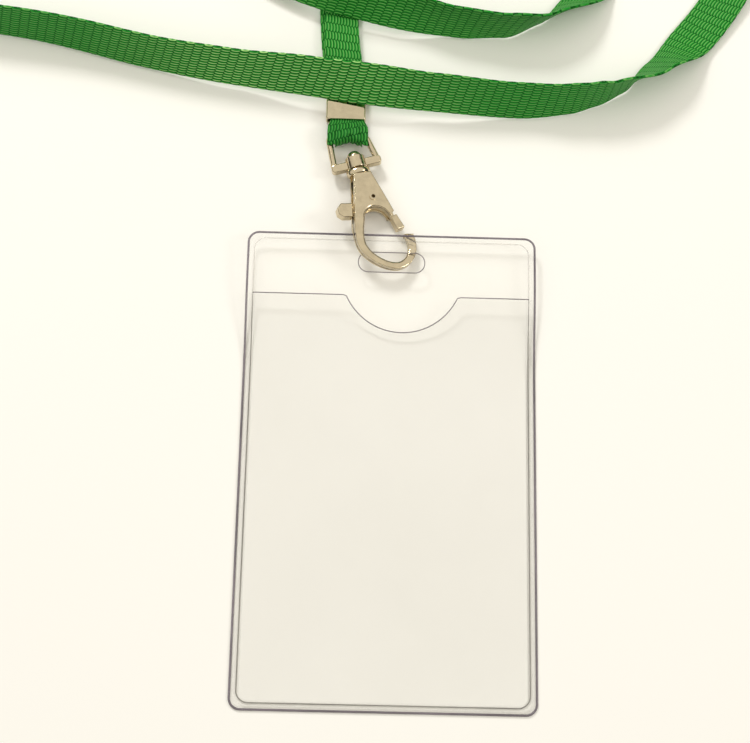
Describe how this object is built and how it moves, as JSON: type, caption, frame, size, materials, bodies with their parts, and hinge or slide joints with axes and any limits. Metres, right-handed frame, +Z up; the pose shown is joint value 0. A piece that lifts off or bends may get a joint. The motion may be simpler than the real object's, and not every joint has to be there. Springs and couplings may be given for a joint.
{
  "type": "lanyard badge holder",
  "caption": "Flat woven neck strap with a metal clamp, a swivel snap hook and a clear upright card pocket hanging from the hook by its slot.",
  "frame": {"origin": "centre of the holder's flat back, on the surface that it lies on", "axes": "+Y from the pocket towards the neck strap, +Z up out of the holder's face, +X to the right seen from the front"},
  "size_m": [0.2683, 0.3001, 0.0079],
  "materials": {
    "clear_pvc": "clear glossy vinyl",
    "nickel": "polished nickel plate",
    "spring_steel": "drawn wire",
    "clamp_steel": "bright plated strip",
    "green_webbing": "woven polyester with a slight sheen"
  },
  "bodies": {
    "lanyard": {"neck_strap": "green_webbing", "strap_clamp": "clamp_steel", "strap_end_fold": "green_webbing"},
    "bail": {"bail_ring": "nickel"},
    "hook": {"hook_body": "nickel", "swivel_stud": "nickel", "gate_rivet": "nickel", "gate_spring": "spring_steel"},
    "gate": {"gate_lever": "nickel"},
    "holder": {"holder_back_sheet": "clear_pvc", "holder_front_sheet": "clear_pvc"}
  },
  "joints": [
    {"name": "bail_swing", "type": "hinge", "parent": "lanyard", "child": "bail", "pos_m": [-0.0132, 0.0944, 0.0028], "axis": [1, 0, 0], "range_deg": [-90, 90]},
    {"name": "hook_swivel", "type": "hinge", "parent": "bail", "child": "hook", "pos_m": [-0.0098, 0.0836, 0.00325], "axis": [0.2754, -0.9605, 0.0401], "continuous": true},
    {"name": "gate_pivot", "type": "hinge", "parent": "hook", "child": "gate", "pos_m": [-0.00605, 0.07541, 0.00325], "axis": [-0.2381, -0.1086, -0.9651], "range_deg": [0, 14], "stiffness_Nm_per_rad": 0.02, "springref_deg": -11.46, "deforming": ["gate_spring"]},
    {"name": "holder_turn", "type": "hinge", "parent": "hook", "child": "holder", "pos_m": [0.00253, 0.05673, 0.00323], "axis": [0.2754, -0.9605, 0.0401], "range_deg": [0, 120]}
  ]
}
